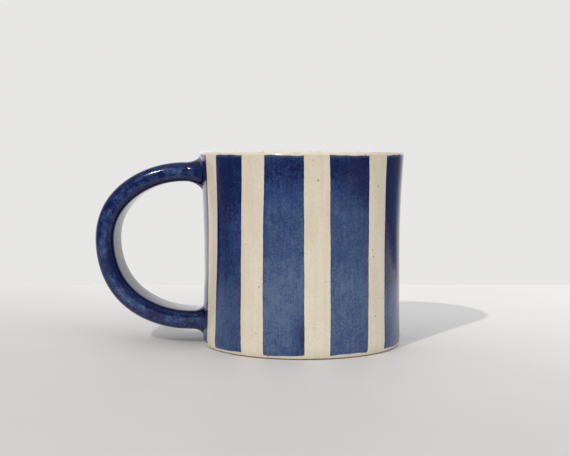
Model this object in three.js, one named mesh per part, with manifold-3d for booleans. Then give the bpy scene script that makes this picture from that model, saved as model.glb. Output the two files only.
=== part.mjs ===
// A hand-made stoneware mug with painted stripes and a strap handle. Millimetres, +Z up.
// The origin is the middle of the underside, the handle points along -X.
import * as THREE from "three";
import { mergeVertices } from "three/addons/utils/BufferGeometryUtils.js";
import Module from "manifold-3d";

const wasm = await Module();
wasm.setup();

// Body: a waisted cylinder, wider at the lip and a little wider at the foot.
const bodyHeight = 86.4;
const waistRadius = 44;
const waistHeight = 38;
const lipFlare = 1.9; // how much wider than the waist the lip is, on the radius
const footFlare = 0.7; // the same for the foot
const wallThickness = 4;
const lipOuterRound = 1.5;
const footRound = 1.2;
const bodySegments = 60; // facets round the body

// Base slab: the wall stands on its unglazed edge.
const slabThickness = 5;
const slabEdgeHeight = 1;
const slabEdgeRadius = 43.3;
const slabEdgeRound = 0.5;

// Coil pressed into the corner between the floor and the wall.
const coilRadius = 6;
const coilEdge = 0.4; // thickness left at its feathered edges

// Strap handle. Its centre line is two cubic curves that meet where it stands furthest out.
const strapWidth = 22;
const strapThickness = 9;
const strapCornerRadius = 3.6;
const strapUpperRoot = new THREE.Vector3(-42, 0, 76.2);
const strapUpperPull = new THREE.Vector3(-63.2, 0, 80.8);
const strapOutermost = new THREE.Vector3(-88.6, 0, 46.1);
const strapPullUp = 23.4;
const strapPullDown = 16;
const strapLowerPull = new THREE.Vector3(-76.9, 0, 8.1);
const strapLowerRoot = new THREE.Vector3(-42, 0, 11.3);
const strapSteps = 34;

// Clay collars smoothed round the two ends of the handle.
const upperCollar = { flare: 3.8, reach: 6.5 };
const lowerCollar = { flare: 3.4, reach: 5 };
const collarSteps = 7;

// Painted stripes: thin bands of blue slip, between an edge below the lip and one above the foot.
const stripeBottom = 2.4;
const stripeTop = 84.9;
const stripeThickness = 0.25;
const stripeLift = 0.1; // its back stands this far off the clay

const clearance = 0.3; // where one piece is cut to fit its neighbour

// Angles round the body in degrees, 0 at -Y and 90 at +X. The first stripe is centred on the handle.
const handleStripe = [-115, -65];
const paintedStripes = [
  [-53.4, -31.8],
  [-18.6, 4.1],
  [17.4, 41.6],
  [54.8, 80.8],
];
const evenStripeStart = 95.9;
const evenStripeWidth = 23.4;
const evenStripePitch = 37.4;
const evenStripeCount = 4;

const creamGlaze = { color: 0xd8ceb6, roughness: 0.25, metalness: 0 };
const blueGlaze = { color: 0x26305a, roughness: 0.2, metalness: 0 };
const bareClay = { color: 0x9a8266, roughness: 0.85, metalness: 0 };

function outerRadius(z) {
  const fromWaist = z - waistHeight;
  if (fromWaist > 0) {
    return waistRadius + lipFlare * (fromWaist / (bodyHeight - waistHeight)) ** 2;
  }
  return waistRadius + footFlare * (fromWaist / waistHeight) ** 2;
}

function innerRadius(z) {
  return outerRadius(z) - wallThickness;
}

// Points [radius, z] on a quarter of an ellipse, from one angle to another in degrees.
function arc(radius, z, reachOut, reachUp, from, to, steps) {
  const points = [];
  for (let i = 0; i <= steps; i++) {
    const angle = THREE.MathUtils.degToRad(from + ((to - from) * i) / steps);
    points.push([radius + reachOut * Math.cos(angle), z + reachUp * Math.sin(angle)]);
  }
  return points;
}

// Points [radius, z] up or down a side of the body, moved outwards by an offset.
function side(radiusAt, from, to, steps, offset = 0) {
  const points = [];
  for (let i = 0; i <= steps; i++) {
    const z = from + ((to - from) * i) / steps;
    points.push([radiusAt(z) + offset, z]);
  }
  return points;
}

function lathe(profile) {
  const points = profile.map(([radius, z]) => new THREE.Vector2(radius, z));
  const geometry = new THREE.LatheGeometry(points, bodySegments);
  return geometry.rotateX(Math.PI / 2); // the profile's second number becomes z
}

function closed(profile) {
  return [...profile, profile[0]];
}

function toSolid(geometry) {
  const bare = geometry.clone();
  bare.deleteAttribute("normal");
  bare.deleteAttribute("uv");
  const merged = mergeVertices(bare, 1e-4);
  return new wasm.Manifold(
    new wasm.Mesh({
      numProp: 3,
      vertProperties: merged.attributes.position.array,
      triVerts: new Uint32Array(merged.index.array),
    }),
  );
}

function toGeometry(solid) {
  const mesh = solid.getMesh();
  const geometry = new THREE.BufferGeometry();
  geometry.setAttribute("position", new THREE.BufferAttribute(mesh.vertProperties, 3));
  geometry.setIndex(new THREE.BufferAttribute(mesh.triVerts, 1));
  geometry.computeVertexNormals();
  return geometry;
}

// Body wall: an open tube with a rounded lip, standing on the slab's edge.
function wallGeometry() {
  const bottom = slabEdgeHeight + clearance;
  const lipStart = bodyHeight - lipOuterRound;
  const lipRadius = outerRadius(lipStart);
  const lipInnerRound = wallThickness - lipOuterRound;
  const footStart = bottom + footRound;
  const profile = [
    [innerRadius(bottom), bottom],
    ...arc(outerRadius(footStart) - footRound, footStart, footRound, footRound, -90, 0, 3),
    ...side(outerRadius, footStart, lipStart, 11).slice(1),
    ...arc(lipRadius - lipOuterRound, lipStart, lipOuterRound, lipOuterRound, 0, 90, 4).slice(1),
    ...arc(lipRadius - lipOuterRound, lipStart, lipInnerRound, lipOuterRound, 90, 180, 4).slice(1),
    ...side(innerRadius, lipStart, bottom, 8).slice(1, -1),
  ];
  return lathe(closed(profile));
}

// Base slab: a disc whose thin unglazed edge runs out under the wall.
function slabGeometry() {
  const plugRadius = innerRadius(slabThickness) - clearance;
  const edge = arc(slabEdgeRadius - slabEdgeRound, slabEdgeRound, slabEdgeRound, slabEdgeRound, -90, 0, 3);
  return lathe([
    [0, 0],
    ...edge,
    [slabEdgeRadius, slabEdgeHeight],
    [plugRadius, slabEdgeHeight],
    [plugRadius, slabThickness],
    [0, slabThickness],
  ]);
}

// Corner coil: a ring with a hollow face, lying in the corner between slab and wall.
function coilGeometry() {
  const outside = innerRadius(slabThickness + coilRadius) - clearance;
  const bottom = slabThickness + clearance;
  const hollow = arc(outside - coilRadius, bottom + coilRadius, coilRadius - coilEdge, coilRadius - coilEdge, 0, -90, 6);
  const profile = [
    [outside - coilRadius, bottom],
    [outside, bottom],
    [outside, bottom + coilRadius],
    ...hollow,
  ];
  return lathe(closed(profile));
}

// A band of slip over the body, all the way round; a stripe is a sector of it.
function paintBand() {
  const outside = side(outerRadius, stripeBottom, stripeTop, 9, stripeLift + stripeThickness);
  const inside = side(outerRadius, stripeTop, stripeBottom, 9, stripeLift);
  return toSolid(lathe(closed([...outside, ...inside])));
}

function sector(from, to) {
  const reach = 2 * waistRadius;
  const shape = new THREE.Shape();
  shape.moveTo(0, 0);
  for (const degrees of [from, (from + to) / 2, to]) {
    const angle = THREE.MathUtils.degToRad(degrees - 90);
    shape.lineTo(reach * Math.cos(angle), reach * Math.sin(angle));
  }
  shape.closePath();
  return toSolid(new THREE.ExtrudeGeometry(shape, { depth: bodyHeight, bevelEnabled: false }));
}

// The space inside the body's outer face, grown by the paint and a clearance.
function bodyCutter() {
  const grown = stripeLift + stripeThickness + clearance;
  const bottom = -clearance;
  const top = bodyHeight + clearance;
  return toSolid(lathe([[0, bottom], ...side(outerRadius, bottom, top, 12, grown), [0, top]]));
}

function strapPath() {
  const path = new THREE.CurvePath();
  const above = strapOutermost.clone().add(new THREE.Vector3(0, 0, strapPullUp));
  const below = strapOutermost.clone().add(new THREE.Vector3(0, 0, -strapPullDown));
  path.add(new THREE.CubicBezierCurve3(strapUpperRoot, strapUpperPull, above, strapOutermost));
  path.add(new THREE.CubicBezierCurve3(strapOutermost, below, strapLowerPull, strapLowerRoot));
  return path;
}

// The strap's section: x runs across its width and y through its thickness.
function strapSection(grown = 0) {
  const halfWidth = strapWidth / 2 + grown;
  const halfThickness = strapThickness / 2 + grown;
  const corner = strapCornerRadius + grown;
  const shape = new THREE.Shape();
  shape.absarc(halfWidth - corner, halfThickness - corner, corner, 0, Math.PI / 2);
  shape.absarc(corner - halfWidth, halfThickness - corner, corner, Math.PI / 2, Math.PI);
  shape.absarc(corner - halfWidth, corner - halfThickness, corner, Math.PI, 1.5 * Math.PI);
  shape.absarc(halfWidth - corner, corner - halfThickness, corner, 1.5 * Math.PI, 2 * Math.PI);
  return shape;
}

function strapSolid(grown = 0) {
  return toSolid(
    new THREE.ExtrudeGeometry(strapSection(grown), {
      extrudePath: strapPath(),
      steps: strapSteps,
      curveSegments: 4,
    }),
  );
}

// How far a hollow fillet has grown, from 0 at its reach to 1 at the wall.
function filletGrowth(distance, reach) {
  const towardsWall = THREE.MathUtils.clamp(1 - distance / reach, 0, 1);
  return 1 - Math.sqrt(1 - towardsWall ** 2);
}

// A collar: the strap's section run out straight from the wall, and flared where it meets it.
function collarSolid({ flare, reach }, root, pull) {
  const direction = pull.clone().sub(root).normalize();
  const rootInsideWall = outerRadius(root.z) - Math.abs(root.x);
  const axis = new THREE.LineCurve3(root, root.clone().addScaledVector(direction, rootInsideWall + reach));
  const geometry = new THREE.ExtrudeGeometry(strapSection(), {
    extrudePath: axis,
    steps: collarSteps,
    curveSegments: 4,
  });
  const position = geometry.attributes.position;
  const vertex = new THREE.Vector3();
  for (let i = 0; i < position.count; i++) {
    vertex.fromBufferAttribute(position, i).sub(root);
    const along = vertex.dot(direction);
    const growth = flare * filletGrowth(along - rootInsideWall, reach);
    vertex.addScaledVector(direction, -along);
    vertex.multiply(new THREE.Vector3(
      1 + (2 * growth) / strapThickness,
      1 + (2 * growth) / strapWidth,
      1 + (2 * growth) / strapThickness,
    ));
    vertex.addScaledVector(direction, along).add(root);
    position.setXYZ(i, ...vertex.toArray());
  }
  return toSolid(geometry);
}

const mug = new THREE.Group();

function add(name, geometry, finish) {
  const mesh = new THREE.Mesh(geometry, new THREE.MeshStandardMaterial(finish));
  mesh.name = name;
  mug.add(mesh);
}

add("body_wall", wallGeometry(), creamGlaze);
add("base_slab", slabGeometry(), bareClay);
add("floor_coil", coilGeometry(), creamGlaze);

const body = bodyCutter();
const strapSpace = strapSolid(clearance);
add("handle_strap", toGeometry(strapSolid().subtract(body)), blueGlaze);

const upper = collarSolid(upperCollar, strapUpperRoot, strapUpperPull);
const lower = collarSolid(lowerCollar, strapLowerRoot, strapLowerPull);
add("upper_joint_collar", toGeometry(upper.subtract(strapSpace).subtract(body)), blueGlaze);
add("lower_joint_collar", toGeometry(lower.subtract(strapSpace).subtract(body)), blueGlaze);

const stripes = [handleStripe, ...paintedStripes];
for (let i = 0; i < evenStripeCount; i++) {
  const start = evenStripeStart + i * evenStripePitch;
  stripes.push([start, start + evenStripeWidth]);
}
const band = paintBand();
stripes.forEach(([from, to], i) => {
  add(`stripe_${i + 1}`, toGeometry(band.intersect(sector(from, to))), blueGlaze);
});

export default mug;
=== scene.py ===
"""A hand-made stoneware mug with painted blue stripes and a pulled strap handle.

Metres, +Z up. The origin is the middle of the underside and the handle points along -X.
Angles round the body are in degrees, 0 at -Y and 90 at +X.
"""

import bpy
import numpy as np
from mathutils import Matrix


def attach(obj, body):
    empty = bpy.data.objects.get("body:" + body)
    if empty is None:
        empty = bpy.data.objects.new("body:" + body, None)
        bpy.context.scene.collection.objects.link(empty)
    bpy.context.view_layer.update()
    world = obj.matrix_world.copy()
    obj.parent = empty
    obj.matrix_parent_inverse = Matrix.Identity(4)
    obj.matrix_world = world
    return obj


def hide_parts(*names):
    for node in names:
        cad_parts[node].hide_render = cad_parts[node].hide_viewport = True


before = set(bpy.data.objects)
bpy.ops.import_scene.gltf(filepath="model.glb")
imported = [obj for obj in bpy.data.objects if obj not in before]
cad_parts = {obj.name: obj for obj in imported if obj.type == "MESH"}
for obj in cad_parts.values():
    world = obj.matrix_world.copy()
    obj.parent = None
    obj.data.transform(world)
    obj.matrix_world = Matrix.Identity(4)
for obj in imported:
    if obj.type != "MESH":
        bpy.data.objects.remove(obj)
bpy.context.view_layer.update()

# ---- Base slab ----------------------------------------------------------------------------------
# A disc cut from a rolled sheet of stoneware, which the wall stands on. Its underside and thin edge
# are wiped clean of glaze before firing, so they show as rough brown clay.

mm = 0.001
around = 288  # points round each surface of the body

slab_edge_radius = 43.2 * mm
slab_edge_height = 0.7 * mm
slab_edge_round = 0.2 * mm
slab_plug_radius = 39.8 * mm  # of the part that the wall stands round
slab_thickness = 4.6 * mm
slab_middle = 2 * mm  # radius of the innermost ring, which the fans close
slab_waves = [(0.0012, 3, 1), (0.0009, 11, 0)]  # share of the radius, count and phase

clay_dark, clay_pale = (0.27, 0.17, 0.105), (0.45, 0.33, 0.23)
sand_grain, iron_grain = (0.50, 0.40, 0.29), (0.05, 0.035, 0.025)


class Shade:
    """The output of a shader node. Sums on it add Math nodes, and node() adds any other node."""

    def __init__(self, tree, socket=None):
        self.tree = tree
        self.socket = socket

    def node(self, kind, settings=None, sockets=None, output=0):
        """Adds a node: its settings, then a value or a link for each named or numbered socket."""
        made = self.tree.nodes.new("ShaderNode" + kind)
        for name, value in (settings or {}).items():
            setattr(made, name, value)
        for name, value in (sockets or {}).items():
            if isinstance(value, Shade):
                self.tree.links.new(value.socket, made.inputs[name])
            else:
                made.inputs[name].default_value = value
        return Shade(self.tree, made.outputs[output] if made.outputs else None)

    def math(self, operation, *values, clamp=False):
        settings = {"operation": operation, "use_clamp": clamp}
        return self.node("Math", settings, dict(enumerate(values)))

    def __add__(self, other):
        return self.math("ADD", self, other)

    def __sub__(self, other):
        return self.math("SUBTRACT", self, other)

    def __rsub__(self, other):
        return self.math("SUBTRACT", other, self)

    def __mul__(self, other):
        return self.math("MULTIPLY", self, other)

    __radd__ = __add__
    __rmul__ = __mul__

    def between(self, low, high):
        """0 up to low, 1 from high on, and a smooth step between them."""
        sockets = {"Value": self, "From Min": low, "From Max": high}
        return self.node("MapRange", {"interpolation_type": "SMOOTHSTEP"}, sockets)

    def mix(self, first, second):
        """The first colour where this value is 0, and the second where it is 1."""
        sockets = {0: self, 6: (*first, 1) if isinstance(first, tuple) else first}
        sockets[7] = (*second, 1) if isinstance(second, tuple) else second
        return self.node("Mix", {"data_type": "RGBA"}, sockets, 2)

    def stretched(self, x, y, z):
        """This place with each direction multiplied by its own number."""
        return self.node("VectorMath", {"operation": "MULTIPLY"}, {0: self, 1: (x, y, z)})

    def along(self, x, y, z):
        """How far this place lies along a direction: their dot product."""
        sockets = {0: self, 1: (x, y, z)}
        return self.node("VectorMath", {"operation": "DOT_PRODUCT"}, sockets, "Value")

    def noise(self, size, detail=2.0, roughness=0.5):
        """Noise round 0.5, in patches of about this size."""
        sockets = {"Vector": self, "Scale": 1 / size, "Detail": detail, "Roughness": roughness}
        return self.node("TexNoise", sockets=sockets)

    def dots(self, spacing, radius, share):
        """Round dots of one radius, in this share of the cells of a grid of that spacing."""
        sockets = {"Vector": self, "Scale": 1 / spacing}
        distance = self.node("TexVoronoi", sockets=sockets, output="Distance")
        chance = self.node("TexVoronoi", sockets=sockets, output="Color")
        chance = chance.node("SeparateColor", sockets={0: chance})
        edge = radius / spacing
        dot = 1 - distance.between(0.6 * edge, 1.3 * edge)
        return dot * chance.math("LESS_THAN", chance, share)

    def bump(self, depth):
        """A Bump node that takes this value as a height, this deep."""
        return self.node("Bump", sockets={"Strength": 1.0, "Distance": depth, "Height": self})


def new_material(name, finish):
    """A material. finish(place) gives the Principled shader's sockets from the Object place."""
    material = bpy.data.materials.new(name)
    material.use_nodes = True
    tree = material.node_tree
    tree.nodes.clear()
    place = Shade(tree).node("TexCoord", output="Object")
    shader = place.node("BsdfPrincipled", sockets=finish(place))
    place.node("OutputMaterial", sockets={"Surface": shader})
    return material


def finish_piece(name, points, faces, material, stands_for):
    """The mesh of a piece, with its faces turned outwards, riding on the mug for its CAD nodes.

    Six times a closed mesh's volume is the sum, over its faces fanned into triangles, of the
    triple product of each one's corners. Where that is negative the faces point in, and are
    turned."""
    volume = 0.0
    for face in faces:
        fan = [points[face[:, [0, i, i + 1]]] for i in range(1, face.shape[1] - 1)]
        volume += sum(np.einsum("ij,ij->", t[:, 0], np.cross(t[:, 1], t[:, 2])) for t in fan)
    if volume < 0:
        faces = [face[:, ::-1] for face in faces]
    mesh = bpy.data.meshes.new(name)
    mesh.from_pydata(points.tolist(), [], [f for face in faces for f in face.tolist()])
    mesh.polygons.foreach_set("use_smooth", np.ones(len(mesh.polygons), bool))
    mesh.materials.append(material)
    piece = bpy.data.objects.new(name, mesh)
    bpy.context.scene.collection.objects.link(piece)
    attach(piece, "root")
    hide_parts(*stands_for)
    return piece


def ring_faces(rows, columns, hoop=False):
    """Faces of a grid whose columns go round and join up. A hoop's last row joins its first.
    Otherwise two more points, which follow the grid's, close its ends with fans."""
    index = np.arange(rows * columns).reshape(rows, columns)
    if hoop:
        index = np.vstack([index, index[:1]])
    beside = np.roll(index, -1, axis=1)
    quads = np.stack([index[:-1], beside[:-1], beside[1:], index[1:]], -1).reshape(-1, 4)
    if hoop:
        return [quads]
    first = np.full(columns, rows * columns)
    start = np.stack([first, beside[0], index[0]], -1)
    end = np.stack([first + 1, index[-1], beside[-1]], -1)
    return [quads, start, end]


def turned(profile, angles):
    """Points[row, column] of a profile of (radius, height) rows turned round the Z axis."""
    radius, height = profile[:, :1], profile[:, 1:]
    return round_body(radius + 0 * angles, angles, height + 0 * angles)


def round_body(radius, angle, height):
    """Points at a radius, an angle round the body (0 at -Y, growing towards +X) and a height."""
    return np.stack([radius * np.sin(angle), -radius * np.cos(angle), height], -1)


def waves(at, each):
    """The sum of sine waves at a place, each given as (height, count, phase)."""
    return sum(height * np.sin(at * count + phase) for height, count, phase in each)


def quarter(radius, height, reach_out, reach_up, start, end, steps):
    """(radius, height) rows on an ellipse round a centre, from one angle to another in degrees."""
    angle = np.radians(np.linspace(start, end, steps))
    return np.stack([radius + reach_out * np.cos(angle), height + reach_up * np.sin(angle)], -1)


def bare_clay(place):
    """Toasted brown clay, darker in patches, with pale sand and black iron grains in it."""
    patches = place.noise(6 * mm, 4, 0.6).between(0.35, 0.65)
    colour = patches.mix(clay_dark, clay_pale)
    colour = place.dots(0.9 * mm, 0.2 * mm, 0.35).mix(colour, sand_grain)
    colour = place.dots(1.6 * mm, 0.25 * mm, 0.30).mix(colour, iron_grain)
    height_map = place.noise(0.4 * mm, 3, 0.7)
    return {"Base Color": colour, "Roughness": 0.85, "Normal": height_map.bump(0.12 * mm)}


angles = np.linspace(0, 2 * np.pi, around, endpoint=False)
underside_radii = np.linspace(slab_middle, slab_edge_radius - slab_middle, 20)
edge_middle = slab_edge_radius - slab_edge_round
slab_profile = np.vstack([
    np.stack([underside_radii, 0 * underside_radii], -1),
    quarter(edge_middle, slab_edge_round, slab_edge_round, slab_edge_round, -90, 0, 7),
    [[slab_edge_radius, slab_edge_height]],
    [[slab_plug_radius, slab_edge_height]],
    [[slab_plug_radius, slab_thickness]],
    [[slab_middle, slab_thickness]],
])
slab_points = turned(slab_profile, angles)
slab_points[..., :2] *= 1 + waves(angles, slab_waves)[:, None]
slab_points = np.vstack([slab_points.reshape(-1, 3), [[0, 0, 0], [0, 0, slab_thickness]]])
clay = new_material("bare stoneware", bare_clay)
finish_piece(
    "foot_slab",
    slab_points,
    ring_faces(len(slab_profile), around),
    clay,
    ["base_slab"],
)

# ---- Body wall ----------------------------------------------------------------------------------
# A thrown cylinder of stoneware, waisted by the potter's hands and rounded at the lip, then dipped
# in cream glaze. The glaze thins on the lip and at the foot, and iron specks melt through it.

body_height = 86.4 * mm
waist_radius = 44 * mm
waist_height = 38 * mm
lip_flare = 1.9 * mm  # how much wider than the waist the lip is, on the radius
foot_flare = 0.8 * mm
foot_tuck = 1.9 * mm  # how far the foot curves in
foot_curve = 5 * mm  # the height over which it does
wall_thickness = 4 * mm
lip_outer_round = 1.5 * mm
lip_start = body_height - lip_outer_round
foot_round = 0.4 * mm
glaze_end = 0.4 * mm  # the glaze stops this far above the table
lip_drop = 0.1 * mm  # how far the lip's highest and lowest points are from its middle height
lip_high_side = np.radians(-60)
ring_pitch = 5.2 * mm  # of the throwing rings inside
ring_depth = 0.09 * mm
outside_rows, inside_rows = 150, 130
foot_steps, lip_steps = 9, 13

cream_dark, cream_pale = (0.775, 0.70, 0.57), (0.83, 0.76, 0.625)
cream_grain, cream_streak = (0.64, 0.54, 0.40), (0.66, 0.56, 0.40)
lip_white, lip_brown, foot_brown = (0.79, 0.77, 0.68), (0.50, 0.38, 0.26), (0.42, 0.28, 0.17)
olive_speck, pale_speck = (0.17, 0.125, 0.06), (0.30, 0.24, 0.15)


def outer_radius(height):
    """The waist's radius, plus a flare that grows with the square of the distance from the waist,
    less an elliptical curve in at the foot and another at the lip. Each of those is its depth
    times 1 - sqrt(1 - s^2), where s is the share of the curve's height that is gone."""
    above = (height - waist_height) / (body_height - waist_height)
    below = (waist_height - height) / waist_height
    flare = np.where(above > 0, lip_flare * above**2, foot_flare * below**2)
    in_foot = np.clip((foot_curve - height) / foot_curve, 0, 1)
    in_lip = np.clip((height - lip_start) / lip_outer_round, 0, 1)
    foot_in = foot_tuck * (1 - np.sqrt(1 - in_foot**2))
    lip_in = lip_outer_round * (1 - np.sqrt(1 - in_lip**2))
    return waist_radius + flare - (foot_in + lip_in)


def hand_wander(angle, height):
    """How far the outer face is off true: three slow waves that go round the body and up it."""
    return (
        0.10 * mm * np.sin(2 * angle + 0.6)
        + 0.06 * mm * np.sin(3 * angle - height / (13 * mm))
        + 0.04 * mm * np.sin(5 * angle + height / (7 * mm) + 2)
    )


def wall_surface(angle, height, proud=0.0):
    """Points of the outer face at an angle and height, standing proud of it by a distance."""
    radius = outer_radius(height) + hand_wander(angle, height) + proud
    return round_body(radius, angle, settled(angle, height))


def settled(angle, height):
    """The height after the lip has settled. It drops most on one side, by the height's cube."""
    drop = lip_drop * (1 - np.cos(angle - lip_high_side))
    return height - drop * (height / body_height) ** 3


def cream_glaze(place):
    """Milky glaze with soft clouds, olive iron specks, and toasted brown where it is thin."""
    height = place.node("SeparateXYZ", sockets={0: place}, output="Z")
    colour = place.noise(14 * mm, 3).between(0.3, 0.7).mix(cream_dark, cream_pale)
    grain = place.noise(0.8 * mm, 4, 0.7).between(0.35, 0.75)
    colour = (grain * 0.5).mix(colour, cream_grain)
    streaks = place.stretched(1, 1, 0.05).noise(2.2 * mm, 3).between(0.35, 0.7)
    colour = (streaks * 0.3).mix(colour, cream_streak)
    lip = height.between(85 * mm, 86 * mm)
    colour = (lip * 0.6).mix(colour, lip_white)
    toasted = place.noise(3 * mm, 3).between(0.4, 0.75)
    colour = (lip * toasted * 0.35).mix(colour, lip_brown)
    foot = 1 - height.between(glaze_end, 1.0 * mm)
    thin_foot = foot * place.noise(2 * mm, 3).between(0.2, 0.6)
    colour = (thin_foot * 0.6).mix(colour, foot_brown)
    specks = place.dots(4.9 * mm, 0.42 * mm, 0.85) * place.noise(1.2 * mm, 2).between(0.25, 0.5)
    colour = (specks * 0.8).mix(colour, olive_speck)
    small_specks = place.dots(2.4 * mm, 0.2 * mm, 0.6)
    colour = (small_specks * 0.45).mix(colour, pale_speck)
    roughness = 0.14 + place.noise(5 * mm, 2) * 0.08
    height_map = place.noise(7 * mm, 2) + place.noise(1.1 * mm, 1) * 0.12
    return {"Base Color": colour, "Roughness": roughness, "Normal": height_map.bump(0.09 * mm)}


outside_heights = np.linspace(glaze_end + foot_round, lip_start, outside_rows)
inside_heights = np.linspace(lip_start, 4 * mm, inside_rows)
lip_radius = outer_radius(lip_start)
foot_radius = outer_radius(outside_heights[0])
inside_radii = outer_radius(inside_heights) - wall_thickness
lip_inner_round = wall_thickness - lip_outer_round
lip_centre = lip_radius - lip_outer_round
foot_centre = foot_radius - foot_round
foot_start = outside_heights[0]
wall_profile = np.vstack([
    quarter(foot_centre, foot_start, foot_round, foot_round, -90, 0, foot_steps)[:-1],
    np.stack([outer_radius(outside_heights), outside_heights], -1),
    quarter(lip_centre, lip_start, lip_outer_round, lip_outer_round, 0, 90, lip_steps)[1:],
    quarter(lip_centre, lip_start, lip_inner_round, lip_outer_round, 90, 180, lip_steps)[1:-1],
    np.stack([inside_radii, inside_heights], -1),
    [[inside_radii[-1], glaze_end]],
])
profile_radius, profile_height = wall_profile[:, :1], wall_profile[:, 1:]
rows_to_crest = foot_steps - 1 + outside_rows + lip_steps - 1
inside = (np.arange(len(wall_profile)) > rows_to_crest)[:, None]
throwing_rings = ring_depth * np.sin(2 * np.pi * profile_height / ring_pitch + angles)
wall_radius = profile_radius + hand_wander(angles, profile_height) + inside * throwing_rings
wall_points = round_body(wall_radius, angles, settled(angles, profile_height))
glaze = new_material("cream glaze", cream_glaze)
finish_piece(
    "thrown_wall",
    wall_points.reshape(-1, 3),
    ring_faces(len(wall_profile), around, hoop=True),
    glaze,
    ["body_wall"],
)

# ---- Inside corner and floor --------------------------------------------------------------------
# A coil of soft clay pressed into the corner between slab and wall, and smoothed with a wet finger
# that leaves faint rings on the floor. The cream glaze inside the mug covers both.

corner_radius = 6.5 * mm
floor_height = 5.3 * mm
corner_top = floor_height + corner_radius
floor_radius = outer_radius(corner_top) - wall_thickness - corner_radius
floor_middle = 1.5 * mm  # radius of the innermost ring
floor_back = slab_thickness - 1 * mm  # its underside lies this high, in the slab
rim_radius = floor_radius + corner_radius + 0.5 * mm  # its rim is sunk in the wall
floor_ring_pitch = 6 * mm
floor_ring_depth = 0.10 * mm

floor_radii = np.linspace(floor_middle, floor_radius, 60)
floor_rings = floor_ring_depth * np.sin(2 * np.pi * floor_radii / floor_ring_pitch)
floor_rings = floor_rings * np.clip(floor_radii / (30 * mm), 0, 1)
floor_profile = np.vstack([
    np.stack([floor_radii, floor_height + floor_rings], -1),
    quarter(floor_radius, corner_top, corner_radius, corner_radius, -90, 0, 20)[1:],
    [[rim_radius, floor_height + 1.3 * corner_radius]],
    [[rim_radius, floor_back]],
    [[floor_middle, floor_back]],
])
floor_points = turned(floor_profile, angles)
floor_points[..., :2] *= 1 + (hand_wander(angles, 12 * mm) / (40 * mm))[:, None]
poles = [[0, 0, floor_height], [0, 0, floor_back]]
floor_points = np.vstack([floor_points.reshape(-1, 3), poles])
finish_piece(
    "inside_floor",
    floor_points,
    ring_faces(len(floor_profile), around),
    glaze,
    ["floor_coil"],
)

# ---- Painted stripes ----------------------------------------------------------------------------
# Bands of cobalt slip brushed upright on the leather-hard wall, under the glaze. The slip is deep
# blue where the brush left it thick, and grey-blue and streaky where it was dragged thin. Lower
# down the stripes are also drawn paler, as painted reflection of the bright table in the glaze.

stripe_foot = 1.5 * mm
stripe_top = 85.1 * mm
slip_height = 0.04 * mm  # how far the slip stands proud of the wall
slip_buried = 0.06 * mm  # how deep its edges lie in the wall; its back lies twice as deep
slip_shoulder = 0.5 * mm  # the width over which an edge does most of its rise
side_waver = 0.06 * mm / waist_radius  # the brush's slow wander, as an angle
side_jitter = 0.03 * mm / waist_radius
rim_fade = 0.7 * mm  # how far down the slip has run thin below its top
pooled_width = 0.35 * mm  # how far in from a side the slip has pooled

slip_navy, slip_blue = (0.0022, 0.0085, 0.074), (0.026, 0.060, 0.180)
slip_grey_blue, slip_bare = (0.088, 0.135, 0.245), (0.40, 0.41, 0.38)
# The near-black is for pooled slip, and for painted shade along the strap's edges and joints.
slip_fleck, slip_pooled_and_shade = (0.17, 0.265, 0.30), (0.0015, 0.003, 0.020)

# Each side of a stripe: its angle at the top, at the waist and at the foot.
stripe_sides = {
    "stripe_1": [(-116.5, -115.0, -113.5), (-62.3, -65.0, -66.2)],
    "stripe_2": [(-51.0, -53.6, -55.6), (-30.3, -32.5, -32.4)],
    "stripe_3": [(-17.4, -19.3, -19.0), (3.8, 4.1, 4.3)],
    "stripe_4": [(16.6, 17.8, 17.6), (40.6, 42.6, 41.3)],
    "stripe_5": [(53.9, 55.6, 54.6), (80.0, 81.5, 80.6)],
    "stripe_6": [(95.2, 96.4, 95.4), (118.4, 119.6, 120.2)],
    "stripe_7": [(132.6, 133.2, 134.4), (156.0, 157.4, 156.8)],
    "stripe_8": [(171.0, 169.8, 170.6), (193.2, 194.4, 194.0)],
    "stripe_9": [(207.4, 208.4, 207.0), (231.0, 232.2, 231.4)],
}

# How thin the slip is, from 0 to 1, up each stripe's sides: (height in mm, left, right).
# The values also hold painted reflection: they rise lower down, where the glaze would mirror the
# bright table.
thin_slip_and_sheen = {
    "stripe_1": [(2, 0.45, 0.3), (30, 0.3, 0.2), (85, 0.1, 0.1)],
    "stripe_2": [
        (3, 0.6, 0.45), (24, 0.55, 0.45), (34, 0.2, 0.45), (56, 0.05, 0.45), (66, -0.05, 0.2),
        (85, -0.1, 0.05),
    ],
    "stripe_3": [
        (3, 0.75, 0.6), (14, 0.95, 0.9), (28, 1.0, 0.95), (36, 0.75, 0.95), (44, 0.55, 0.8),
        (62, 0.65, 0.7), (70, 0.45, 0.5), (77, 0.25, 0.2), (85, 0.15, 0.1),
    ],
    "stripe_4": [
        (3, 0.85, 0.7), (20, 0.85, 0.7), (30, 1.0, 0.8), (37, 0.85, 0.65), (44, 0.65, 0.48),
        (58, 0.72, 0.42), (66, 0.6, 0.15), (71, 0.45, 0.05), (77, 0.12, -0.05), (85, 0.1, -0.1),
    ],
    "stripe_5": [(3, 0.65, 0.65), (24, 0.65, 0.7), (31, 0.1, 0.3), (85, -0.05, 0.1)],
    "stripe_6": [(3, 0.6, 0.8), (30, 0.9, 0.8), (55, 0.6, 0.7), (75, 0.3, 0.15), (85, 0.05, 0.1)],
    "stripe_7": [(3, 0.5, 0.6), (20, 0.7, 0.9), (48, 0.8, 0.6), (70, 0.4, 0.2), (85, 0.1, 0.1)],
    "stripe_8": [(3, 0.9, 0.7), (24, 0.8, 0.9), (40, 0.5, 0.7), (66, 0.2, 0.4), (85, 0.1, 0.0)],
    "stripe_9": [(3, 0.6, 0.4), (34, 0.9, 0.7), (60, 0.7, 0.3), (76, 0.2, 0.1), (85, 0.0, 0.1)],
}

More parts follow.
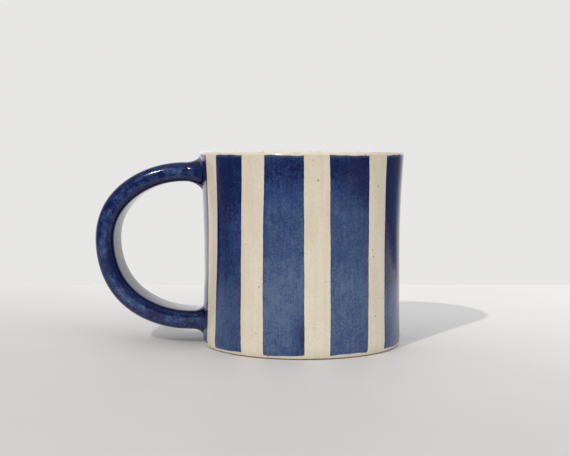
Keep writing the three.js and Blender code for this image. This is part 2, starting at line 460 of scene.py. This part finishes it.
# Second coats, darker: (share of the width, height in mm, half width as a share, half height).
second_coats = {
    "stripe_3": (1.0, 11, 0.24, 9),
    "stripe_6": (0.1, 12, 0.3, 10),
    "stripe_8": (0.9, 50, 0.3, 12),
}


def blue_slip(place):
    """Cobalt slip. Its colour goes from navy through blue and grey-blue to bare as it thins: by
    the piece's own map of thinness, which on the stripes also holds painted reflection of the
    table, by its grain, and by brush streaks and blotches that the piece's uneven map strengthens.
    It is almost black where it has pooled, and where the strap's map paints shade on its edges."""
    thin_and_sheen = place.node("Attribute", {"attribute_name": "thin_and_sheen"}, output="Fac")
    pool_and_shade = place.node("Attribute", {"attribute_name": "pool_and_shade"}, output="Fac")
    uneven = place.node("Attribute", {"attribute_name": "uneven"}, output="Fac")
    brush = place.node("Attribute", {"attribute_name": "brush"}, output="Vector")
    streaks = brush.stretched(1, 0.08, 1).noise(1.1 * mm, 3, 0.6) - 0.5
    grain = place.noise(0.9 * mm, 4, 0.8) - 0.5
    blotches = place.noise(4.5 * mm, 5, 0.7) - 0.5
    shade = thin_and_sheen + grain * 1.6 + streaks * (0.45 + uneven * 0.35) + blotches * 1.15 * uneven
    colour = shade.between(0.0, 0.6).mix(slip_navy, slip_blue)
    colour = shade.between(0.5, 1.15).mix(colour, slip_grey_blue)
    colour = shade.between(1.2, 2.1).mix(colour, slip_bare)
    flecks = place.dots(1.3 * mm, 0.26 * mm, 0.35) * (blotches + thin_and_sheen * 0.2).between(0.0, 0.3)
    colour = (flecks * 0.7).mix(colour, slip_fleck)
    colour = (pool_and_shade * (0.8 + streaks)).between(0.1, 1.0).mix(colour, slip_pooled_and_shade)
    roughness = 0.10 + place.noise(2.5 * mm, 2) * 0.10
    height_map = place.noise(6 * mm, 2) + place.noise(1.0 * mm, 2) * 0.15
    return {"Base Color": colour, "Roughness": roughness, "Normal": height_map.bump(0.08 * mm)}


def paint_map(piece, thin_and_sheen, pool_and_shade, uneven, brush):
    """Stores the maps that blue_slip reads: the slip's thinness and painted sheen, its pooling and
    painted shade, how uneven it is, and the place across and along the brush."""
    for name, values in (("thin_and_sheen", thin_and_sheen), ("pool_and_shade", pool_and_shade), ("uneven", uneven)):
        attribute = piece.data.attributes.new(name, "FLOAT", "POINT")
        attribute.data.foreach_set("value", np.ravel(values).astype(np.float32))
    attribute = piece.data.attributes.new("brush", "FLOAT_VECTOR", "POINT")
    attribute.data.foreach_set("vector", np.ravel(brush).astype(np.float32))


def eased(steps):
    """Shares from 0 to 1 that crowd towards both ends, as a cosine does."""
    return (1 - np.cos(np.pi * np.linspace(0, 1, steps))) / 2


def along_side(angles_at, share):
    """The parabola in height that passes through a side's three angles, in radians."""
    top, waist, foot = np.radians(angles_at)
    return foot + (4 * waist - foot * 3 - top) * share + 2 * (top + foot - 2 * waist) * share**2


def sheet_faces(rows, columns):
    """Faces of a closed sheet: a grid, the same grid behind it facing back, and a strip round
    the rim."""
    index = np.arange(rows * columns).reshape(rows, columns)
    cells = np.stack([index[:-1, :-1], index[:-1, 1:], index[1:, 1:], index[1:, :-1]], -1)
    cells = cells.reshape(-1, 4)
    rim = np.concatenate([index[0, :-1], index[:-1, -1], index[-1, :0:-1], index[:0:-1, 0]])
    after = np.roll(rim, -1)
    behind = rows * columns
    strip = np.stack([after, rim, rim + behind, after + behind], -1)
    return [cells, cells[:, ::-1] + behind, strip]


across, upward = np.meshgrid(eased(56), eased(170))
slip = new_material("cobalt slip", blue_slip)
for number, (name, sides) in enumerate(stripe_sides.items()):
    random = np.random.default_rng(40 + number)
    phases = random.uniform(0, 2 * np.pi, 8)
    left, right = (along_side(side, upward) for side in sides)
    left = left + waves(upward, [(side_waver, 19, phases[0]), (side_jitter, 130, phases[1])])
    right = right + waves(upward, [(side_waver, 23, phases[2]), (side_jitter, 117, phases[3])])
    angle = left + (right - left) * across
    width = (right - left) * waist_radius
    foot_waves = [(0.20 * mm, 8, phases[4]), (0.06 * mm, 31, phases[5])]
    top_waves = [(0.12 * mm, 11, phases[6]), (0.07 * mm, 41, phases[7])]
    foot = stripe_foot + waves(angle, foot_waves)
    top = stripe_top + waves(angle, top_waves)
    height = foot + (top - foot) * upward
    to_side = np.minimum(across, 1 - across) * width
    to_end = np.minimum(height - foot, top - height)
    to_edge = np.minimum(to_side, to_end)
    risen = 1 - np.exp(-to_edge / (slip_shoulder / 2))
    proud = (slip_height + slip_buried) * risen - slip_buried
    front = wall_surface(angle, height, proud)
    back = wall_surface(angle, height, np.minimum(proud, 0) - 2 * slip_buried)
    points = np.vstack([front.reshape(-1, 3), back.reshape(-1, 3)])
    piece = finish_piece(
        "painted_" + name,
        points,
        sheet_faces(*across.shape),
        slip,
        [name],
    )
    # The thinness map also holds painted reflection: paler lower down, where the glaze would mirror
    # the table.
    heights, *thin_and_sheen_sides = np.array(thin_slip_and_sheen[name]).T
    thin_and_sheen_left, thin_and_sheen_right = (np.interp(height / mm, heights, side) for side in thin_and_sheen_sides)
    thin_and_sheen = thin_and_sheen_left + (thin_and_sheen_right - thin_and_sheen_left) * across
    if name in second_coats:
        share, centre, half_share, half_height = second_coats[name]
        off = ((across - share) / half_share) ** 2 + ((height / mm - centre) / half_height) ** 2
        thin_and_sheen = thin_and_sheen * (1 - 0.8 * np.exp(-off))
    uneven = 0.25 + 0.75 * thin_and_sheen
    thin_and_sheen = thin_and_sheen + 1.6 * np.exp(-((top - height) / rim_fade))
    pool_and_shade = np.exp(-to_side / pooled_width) * (1 - 0.9 * np.exp(-(to_end / (1 * mm))))
    brush = np.stack([across * width, height, number * 0.1 + 0 * height], -1)
    paint_map(piece, [thin_and_sheen] * 2, [pool_and_shade] * 2, [uneven] * 2, [brush] * 2)

# ---- Handle -------------------------------------------------------------------------------------
# A strap pulled from a lump of clay with wet hands, bent into a D and pressed on to the wall. It is
# brushed with the same slip, which runs off its middle and gathers at its edges. The edges are also
# drawn darker as painted shade, most along the inner edge.

strap_width = 22 * mm
strap_thickness = 9 * mm
outer_rounding = 4 * mm  # of the edges outside the loop
inner_rounding = 3 * mm
strap_crown = 0.3 * mm  # how far the middle of a wide face stands above its sides
strap_rows = 260
strap_start = 0.6 * mm  # the first row is this far along the centre line

# The centre line, as (X, Z) in mm: its ends, what they pull towards, and the place that stands out
# furthest, where the line runs upright, with how far it pulls up and down there.
upper_root = (-42, 76.2)
upper_pull = (-63.2, 80.8)
outermost = (-88.2, 46.1)
pull_up = 23.4
pull_down = 16
lower_pull = (-76.9, 8.1)
lower_root = (-42, 11.3)


def bezier(a, b, c, d, share):
    """A cubic curve from a to d that leaves towards b and arrives from c."""
    points = np.array([a, b, c, d]) * mm
    rest = 1 - share
    weights = np.stack([rest**3, 3 * rest**2 * share, 3 * rest * share**2, share**3], -1)
    return weights @ points


def strap_line():
    """The strap's centre line: points in X and Z, with how far along the line each of them is."""
    share = np.linspace(0, 1, 600)
    above = (outermost[0], outermost[1] + pull_up)
    below = (outermost[0], outermost[1] - pull_down)
    line = np.vstack([
        bezier(upper_root, upper_pull, above, outermost, share),
        bezier(outermost, below, lower_pull, lower_root, share)[1:],
    ])
    steps = np.linalg.norm(np.diff(line, axis=0), axis=1)
    return np.concatenate([[0], np.cumsum(steps)]), line


line_gone, line_points = strap_line()
strap_length = line_gone[-1]
line_slope = np.gradient(line_points, line_gone, axis=0)


def quarter_section(rounding):
    """A quarter of the section, as rows of (sideways, outwards, the angle of the way out): half a
    narrow side, a round corner and half a wide face, which is crowned by a parabola."""
    turn = np.radians(np.linspace(0, 90, 10))
    half_width, half_thickness = strap_width / 2, strap_thickness / 2 - strap_crown
    corner = np.stack([
        half_width - rounding + rounding * np.cos(turn),
        half_thickness - rounding + rounding * np.sin(turn),
        turn,
    ], -1)
    side, face = np.linspace(0, 1, 3)[:-1, None], np.linspace(1, 0, 9)[1:, None]
    side = corner[0] * [1, 0, 1] + side * corner[0] * [0, 1, 0]
    face = corner[-1] * [0, 1, 1] + face * corner[-1] * [1, 0, 0]
    rows = np.vstack([side, corner, face])
    rows[:, 1] += strap_crown * np.sin(rows[:, 2]) * (1 - (rows[:, 0] / half_width) ** 2)
    return rows


# The whole section, once round from the middle of a narrow side.
outer_quarter, inner_quarter = quarter_section(outer_rounding), quarter_section(inner_rounding)
section = np.vstack([
    outer_quarter,
    (outer_quarter * [-1, 1, -1] + [0, 0, np.pi])[-2:0:-1],
    inner_quarter * [-1, -1, 1] + [0, 0, np.pi],
    (inner_quarter * [1, -1, -1] + [0, 0, 2 * np.pi])[-2:0:-1],
])


def strap_surface(gone, grown=0.0):
    """Points of the strap's skin once round the section, at distances along the centre line, and
    standing out from the section by a distance. Two slow waves take it off true. Also gives each
    point's sideways and outwards place in the strap."""
    centre = np.stack([np.interp(gone, line_gone, line_points[:, i]) for i in (0, 1)], -1)
    slope = np.stack([np.interp(gone, line_gone, line_slope[:, i]) for i in (0, 1)], -1)
    slope = slope / np.linalg.norm(slope, axis=-1, keepdims=True)
    sideways, outwards, turn = section.T
    slow, quick = (0.09 * mm, 1 / (9 * mm), 2 * turn), (0.07 * mm, 1 / (5.3 * mm), -turn)
    off_true = waves(gone, [slow, quick])
    sideways = sideways + (grown + off_true) * np.cos(turn)
    outwards = outwards + (grown + off_true) * np.sin(turn)
    points = np.stack([
        centre[..., 0] + outwards * slope[..., 1],
        sideways,
        centre[..., 1] - outwards * slope[..., 0],
    ], -1)
    return points, sideways, outwards


strap_gone = np.linspace(strap_start, strap_length, strap_rows)[:, None] + 0 * section[:, 0]
strap_points, strap_sideways, strap_outwards = strap_surface(strap_gone)
ends = strap_points[[0, -1]].mean(axis=1)
strap = finish_piece(
    "pulled_strap",
    np.vstack([strap_points.reshape(-1, 3), ends]),
    ring_faces(*strap_gone.shape),
    slip,
    ["handle_strap"],
)


def strap_paint(sideways, outwards, gone):
    """The slip's maps on the strap: thinned and uneven along the middle of each narrow side, and
    thick elsewhere. Towards that side's edges it darkens, partly as pooled slip and partly as
    painted shade where the rounded edges turn from the light, widest along the inner edge."""
    from_edge = strap_thickness / 2 - np.abs(outwards)
    narrow_side = np.clip(np.abs(sideways) / (strap_width / 2) * 2.5 - 1.5, 0, 1)
    middle = np.clip((from_edge - 0.8 * mm) / (2.5 * mm), 0, 1) * narrow_side
    thin_and_sheen = 0.28 * middle
    # Painted shade: the dark is widest along the inner edge, where the strap turns from the light.
    pool_and_shade = np.exp(-from_edge / np.where(outwards > 0, 1.1 * mm, 3.6 * mm)) * narrow_side
    uneven = 0.6 + 2.4 * middle
    return thin_and_sheen, pool_and_shade, uneven, np.stack([outwards + sideways * 0.5, gone, 0 * gone + 2], -1)


def with_ends(values, at_ends):
    """A map's values row by row, with two more for the points that close the ends."""
    return np.concatenate([np.reshape(values, (-1, *np.shape(at_ends)[1:])), at_ends])


*maps, brush = strap_paint(strap_sideways, strap_outwards, strap_gone)
maps = [with_ends(values, [0, 0]) for values in maps]
paint_map(strap, *maps, with_ends(brush, np.zeros((2, 3))))

# ---- Handle joints ------------------------------------------------------------------------------
# Soft clay smoothed with a finger round each end of the strap, so that the strap swells and runs
# into the wall in a hollow curve. The slip covers it too.

fillet_steps = 22
fillet_buried = 0.12 * mm  # how deep its edges lie in the strap and in the wall
fillet_back = 1 * mm  # the same for its back
fillet_tries = 12
joints = {
    "upper_joint": {"node": "upper_joint_collar", "flare": 3.9 * mm, "reach": 7 * mm, "far": False},
    "lower_joint": {"node": "lower_joint_collar", "flare": 3.0 * mm, "reach": 5 * mm, "far": True},
}


def gap_to_wall(points):
    """How far points are outside the body's outer face, measured level."""
    angle = np.arctan2(points[..., 0], -points[..., 1])
    height = points[..., 2]
    level = np.hypot(points[..., 0], points[..., 1])
    return level - outer_radius(height) - hand_wander(angle, height)


def fillet(flare, reach, far):
    """A hollow quarter curve round the strap's end. It leaves the strap at the reach and meets the
    wall at the flare: the gap to the wall is reach (1 - sin), and the growth is flare (1 - cos).
    Where along the strap that gap lies is found by stepping towards it a dozen times. What is left
    of the gap is then closed by moving each point level, to or from the mug's middle."""
    quarter_turn = np.linspace(0, np.pi / 2, fillet_steps)[:, None] + 0 * section[:, 0]
    gap = reach * (1 - np.sin(quarter_turn))
    growth = flare * (1 - np.cos(quarter_turn))
    share = quarter_turn / (np.pi / 2)
    gap = gap - fillet_buried * share**6
    growth = growth - fillet_buried * (1 - share) ** 6
    gap = np.vstack([gap, gap[-1:] - fillet_back])
    growth = np.vstack([growth, growth[:1] - fillet_back])
    gone = gap + 3 * mm  # a first guess, as the centre line starts about 3 mm inside the wall
    for _ in range(fillet_tries):
        from_root = strap_length - gone if far else gone
        points, sideways, outwards = strap_surface(from_root)
        gone = gone + gap - gap_to_wall(points)
    points, _, _ = strap_surface(from_root, growth)
    move = gap - gap_to_wall(points)
    level = np.hypot(points[..., 0], points[..., 1])
    points[..., :2] *= ((level + move) / level)[..., None]
    return points, sideways, outwards, from_root


for name, joint in joints.items():
    points, sideways, outwards, gone = fillet(joint["flare"], joint["reach"], joint["far"])
    piece = finish_piece(
        name,
        points.reshape(-1, 3),
        ring_faces(*points.shape[:2], hoop=True),
        slip,
        [joint["node"]],
    )
    thin_and_sheen, pool_and_shade, uneven, brush = strap_paint(sideways, outwards, gone)
    near_wall = np.linspace(0, 1, len(points))[:, None]
    away = 1 - near_wall
    # Towards the wall the slip is drawn darker, near black where the joint meets it: painted shade
    # in the crease, with the slip's pooling.
    paint_map(piece, thin_and_sheen * away, pool_and_shade + near_wall**3, 0.4 + (uneven - 0.4) * away, brush)

# ---- Studio -------------------------------------------------------------------------------------
# A plain pale table in a soft room that is bright behind the mug and dark elsewhere, with one sun
# from the front left and a softbox that no reflection shows. The camera is just above the lip.

camera_turn = np.radians(3.3)
camera_back = 499 * mm
camera_aside = 7.53 * mm
camera_height = 88 * mm
camera_tilt = np.radians(4.149)
camera_lens = 70.1
camera_sensor = 36
sun_aside = np.radians(-28.2)
sun_height = np.radians(39.5)
sun_strength = 1.25
sun_size = np.radians(1.6)
sun_colour = (1.0, 0.96, 0.90)
softbox_place = (0.8, -0.75, 0.9)
softbox_size = 1.1
softbox_power = 3.3

# The table's edges (left, right, front, back) as the camera sees them. The far table goes on round
# the near one, but no reflection shows it, so the glaze mirrors a small pale table in a dark room.
near_table = (-0.285, 0.5, -0.395, 0.211)
far_table = (-3, 3, -3, 0.211)

# Painted light: the table's colour grows paler towards the back right, standing in for brighter
# light and sheen there.
table_front_shaded, table_back_lit = (0.64, 0.63, 0.62), (0.90, 0.895, 0.885)
table_cloud = (0.5, 0.5, 0.5)

# The room as reflections show it, the fill that lights the mug and table, and the backdrop.
room_low, room_high = (0.14, 0.14, 0.15), (0.30, 0.31, 0.33)
room_behind, room_glow = (0.86, 0.86, 0.86), (1.18, 1.16, 1.13)
fill_low, fill_high = (0.62, 0.62, 0.62), (1.12, 1.12, 1.12)
backdrop = (0.80, 0.795, 0.78)


def from_camera_axes(right, away, up):
    """A place that is so far right of, beyond and above the mug as the camera sees it."""
    cosine, sine = np.cos(camera_turn), np.sin(camera_turn)
    return np.array([right * cosine - away * sine, right * sine + away * cosine, up])


def pale_table(place):
    """Matt white, with faint clouds, and painted paler towards the back right: painted light and
    painted reflection of the bright room there, which also lighten the mug's shadow.
    """
    colour = place.along(0.5, 1.0, 0.0).between(-0.2, 0.25).mix(table_front_shaded, table_back_lit)
    clouds = place.noise(60 * mm, 3).between(0.3, 0.7)
    colour = (clouds * 0.06).mix(colour, table_cloud)
    return {"Base Color": colour, "Roughness": 0.6}


def table_piece(name, outline, hole=None):
    """A flat rectangle with edges (left, right, front, back), with another cut out of it."""
    rings = [outline] if hole is None else [outline, hole]
    corners = [
        from_camera_axes(x, y, 0)
        for left, right, front, back in rings
        for x, y in ((left, front), (right, front), (right, back), (left, back))
    ]
    faces = [(0, 1, 2, 3)] if hole is None else [(0, 1, 5, 4), (1, 2, 6, 5), (3, 0, 4, 7)]
    mesh = bpy.data.meshes.new(name)
    mesh.from_pydata(corners, [], faces)
    mesh.materials.append(table_paint)
    table = bpy.data.objects.new(name, mesh)
    bpy.context.scene.collection.objects.link(table)
    return table


table_paint = new_material("pale table", pale_table)
table_piece("near_table", near_table)
table_piece("far_table", far_table, near_table).visible_glossy = False

world = bpy.data.worlds.new("room")
bpy.context.scene.world = world
world.use_nodes = True
world.node_tree.nodes.clear()
direction = Shade(world.node_tree).node("TexCoord", output="Generated")
behind = direction.along(-0.35, 0.94, 0.0)
above = direction.along(0.0, 0.0, 1.0)
room = above.between(0.3, 0.8).mix(room_low, room_high)
room = behind.between(0.50, 0.75).mix(room, room_behind)
room = behind.between(0.88, 0.98).mix(room, room_glow)
fill = above.between(0.4, 0.9).mix(fill_low, fill_high)
lighting = direction.node("LightPath", output="Is Diffuse Ray")
room = (lighting * 0.6).mix(room, fill)
seen = direction.node("LightPath", output="Is Camera Ray")
room = seen.mix(room, backdrop)
background = direction.node("Background", sockets={"Color": room, "Strength": 1.0})
direction.node("OutputWorld", sockets={"Surface": background})

sun_light = bpy.data.lights.new("sun", "SUN")
sun_light.energy = sun_strength
sun_light.angle = sun_size
sun_light.color = sun_colour
sun = bpy.data.objects.new("sun", sun_light)
sun.rotation_euler = (np.pi / 2 - sun_height, 0, sun_aside)
bpy.context.scene.collection.objects.link(sun)

softbox_light = bpy.data.lights.new("softbox", "AREA")
softbox_light.energy = softbox_power
softbox_light.size = softbox_size
softbox = bpy.data.objects.new("softbox", softbox_light)
softbox.location = from_camera_axes(*softbox_place)
softbox.rotation_euler = softbox.location.to_track_quat("Z", "Y").to_euler()
softbox.visible_glossy = False
bpy.context.scene.collection.objects.link(softbox)

camera_data = bpy.data.cameras.new("camera")
camera_data.sensor_width = camera_sensor
camera_data.lens = camera_lens
camera_data.clip_start = 0.01
camera = bpy.data.objects.new("camera", camera_data)
camera.location = from_camera_axes(-camera_aside, -camera_back, camera_height)
camera.rotation_euler = (np.pi / 2 - camera_tilt, 0, camera_turn)
bpy.context.scene.collection.objects.link(camera)
bpy.context.scene.camera = camera
bpy.context.scene.view_settings.view_transform = "Standard"
